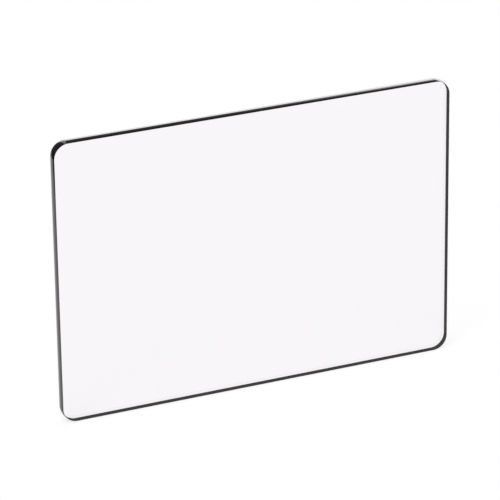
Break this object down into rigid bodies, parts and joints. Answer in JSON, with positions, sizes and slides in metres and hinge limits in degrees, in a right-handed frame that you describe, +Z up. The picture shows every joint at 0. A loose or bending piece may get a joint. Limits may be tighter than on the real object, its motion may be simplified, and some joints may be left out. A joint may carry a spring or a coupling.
{
  "type": "negative carrier glass",
  "caption": "Clear rectangular glass pane with rounded corners and a crowned, blackened edge; holds a medium-format negative flat in an enlarger's negative carrier.",
  "frame": {"origin": "middle of the lower long edge, at half the thickness", "axes": "+X along the width, +Y from the front face to the rear face, +Z up the height"},
  "size_m": [0.1, 0.0026, 0.07],
  "materials": {
    "clear_glass": "polished clear, neutral",
    "black_lacquer": "glossy black edge lacquer, brushed on by hand"
  },
  "bodies": {
    "root": {"glass_pane": "clear_glass", "edge_blacking": "black_lacquer"}
  },
  "joints": []
}
